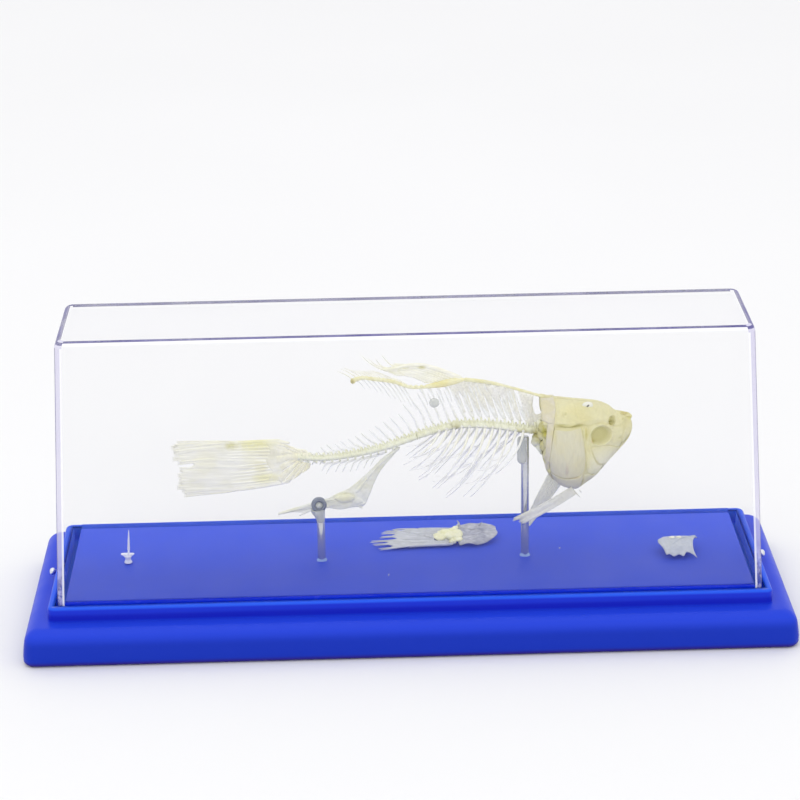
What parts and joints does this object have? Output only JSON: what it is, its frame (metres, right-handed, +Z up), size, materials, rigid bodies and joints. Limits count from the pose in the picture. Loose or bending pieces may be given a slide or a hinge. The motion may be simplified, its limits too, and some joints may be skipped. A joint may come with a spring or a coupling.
{
  "type": "fish skeleton specimen in display case",
  "caption": "Mounted skeleton of a small carp-like fish on two rods over a moulded base, under a clear tapered case, with loose bones beside it.",
  "frame": {"origin": "middle of the underside of the base", "axes": "+X along the base towards the fish's head, +Y across the base away from the side the specimen is looked at from, +Z up"},
  "size_m": [0.3, 0.1, 0.1245],
  "materials": {
    "skull_bone": "dry, matt, pale yellow bone",
    "yellow_bone": "dry, matt, olive yellow bone",
    "pale_bone": "dry, thin, slightly see-through pale bone",
    "blue_moulding": "smooth cobalt blue moulding",
    "blue_panel": "satin blue panel",
    "clear_plastic": "clear polished plastic with violet edges",
    "steel": "bright drawn steel",
    "clear_glue": "hardened greyish glue"
  },
  "bodies": {
    "root": {"anal_fin": "yellow_bone", "trunk_vertebrae": "yellow_bone", "rib_cage_left": "pale_bone", "rib_cage_right": "pale_bone", "tail_vertebrae": "yellow_bone", "nape_bones": "yellow_bone", "dorsal_fin_supports": "yellow_bone", "dorsal_fin_rays": "pale_bone", "glue_blob": "clear_glue", "tail_end_plate": "pale_bone", "caudal_fin_upper": "yellow_bone", "caudal_fin_lower": "pale_bone", "lower_jaw": "skull_bone", "upper_jaw": "yellow_bone", "opercle_left": "pale_bone", "opercle_right": "pale_bone", "preopercle_left": "skull_bone", "preopercle_right": "skull_bone", "cheek_left": "skull_bone", "cheek_right": "skull_bone", "cleithrum_left": "pale_bone", "cleithrum_right": "pale_bone", "skull": "skull_bone", "pectoral_fin_right": "pale_bone", "pectoral_fin_left": "pale_bone", "base_plinth": "blue_moulding", "base_panel": "blue_panel", "case_screw_left": "steel", "case_screw_right": "steel", "display_case": "clear_plastic", "rod_front": "steel", "rod_front_sleeve": "clear_glue", "rod_rear": "steel", "rod_rear_bead": "clear_glue", "loose_pelvic_fin": "pale_bone", "loose_pelvic_girdle": "yellow_bone", "loose_plate_bone": "pale_bone", "loose_vertebra": "pale_bone"}
  },
  "joints": []
}
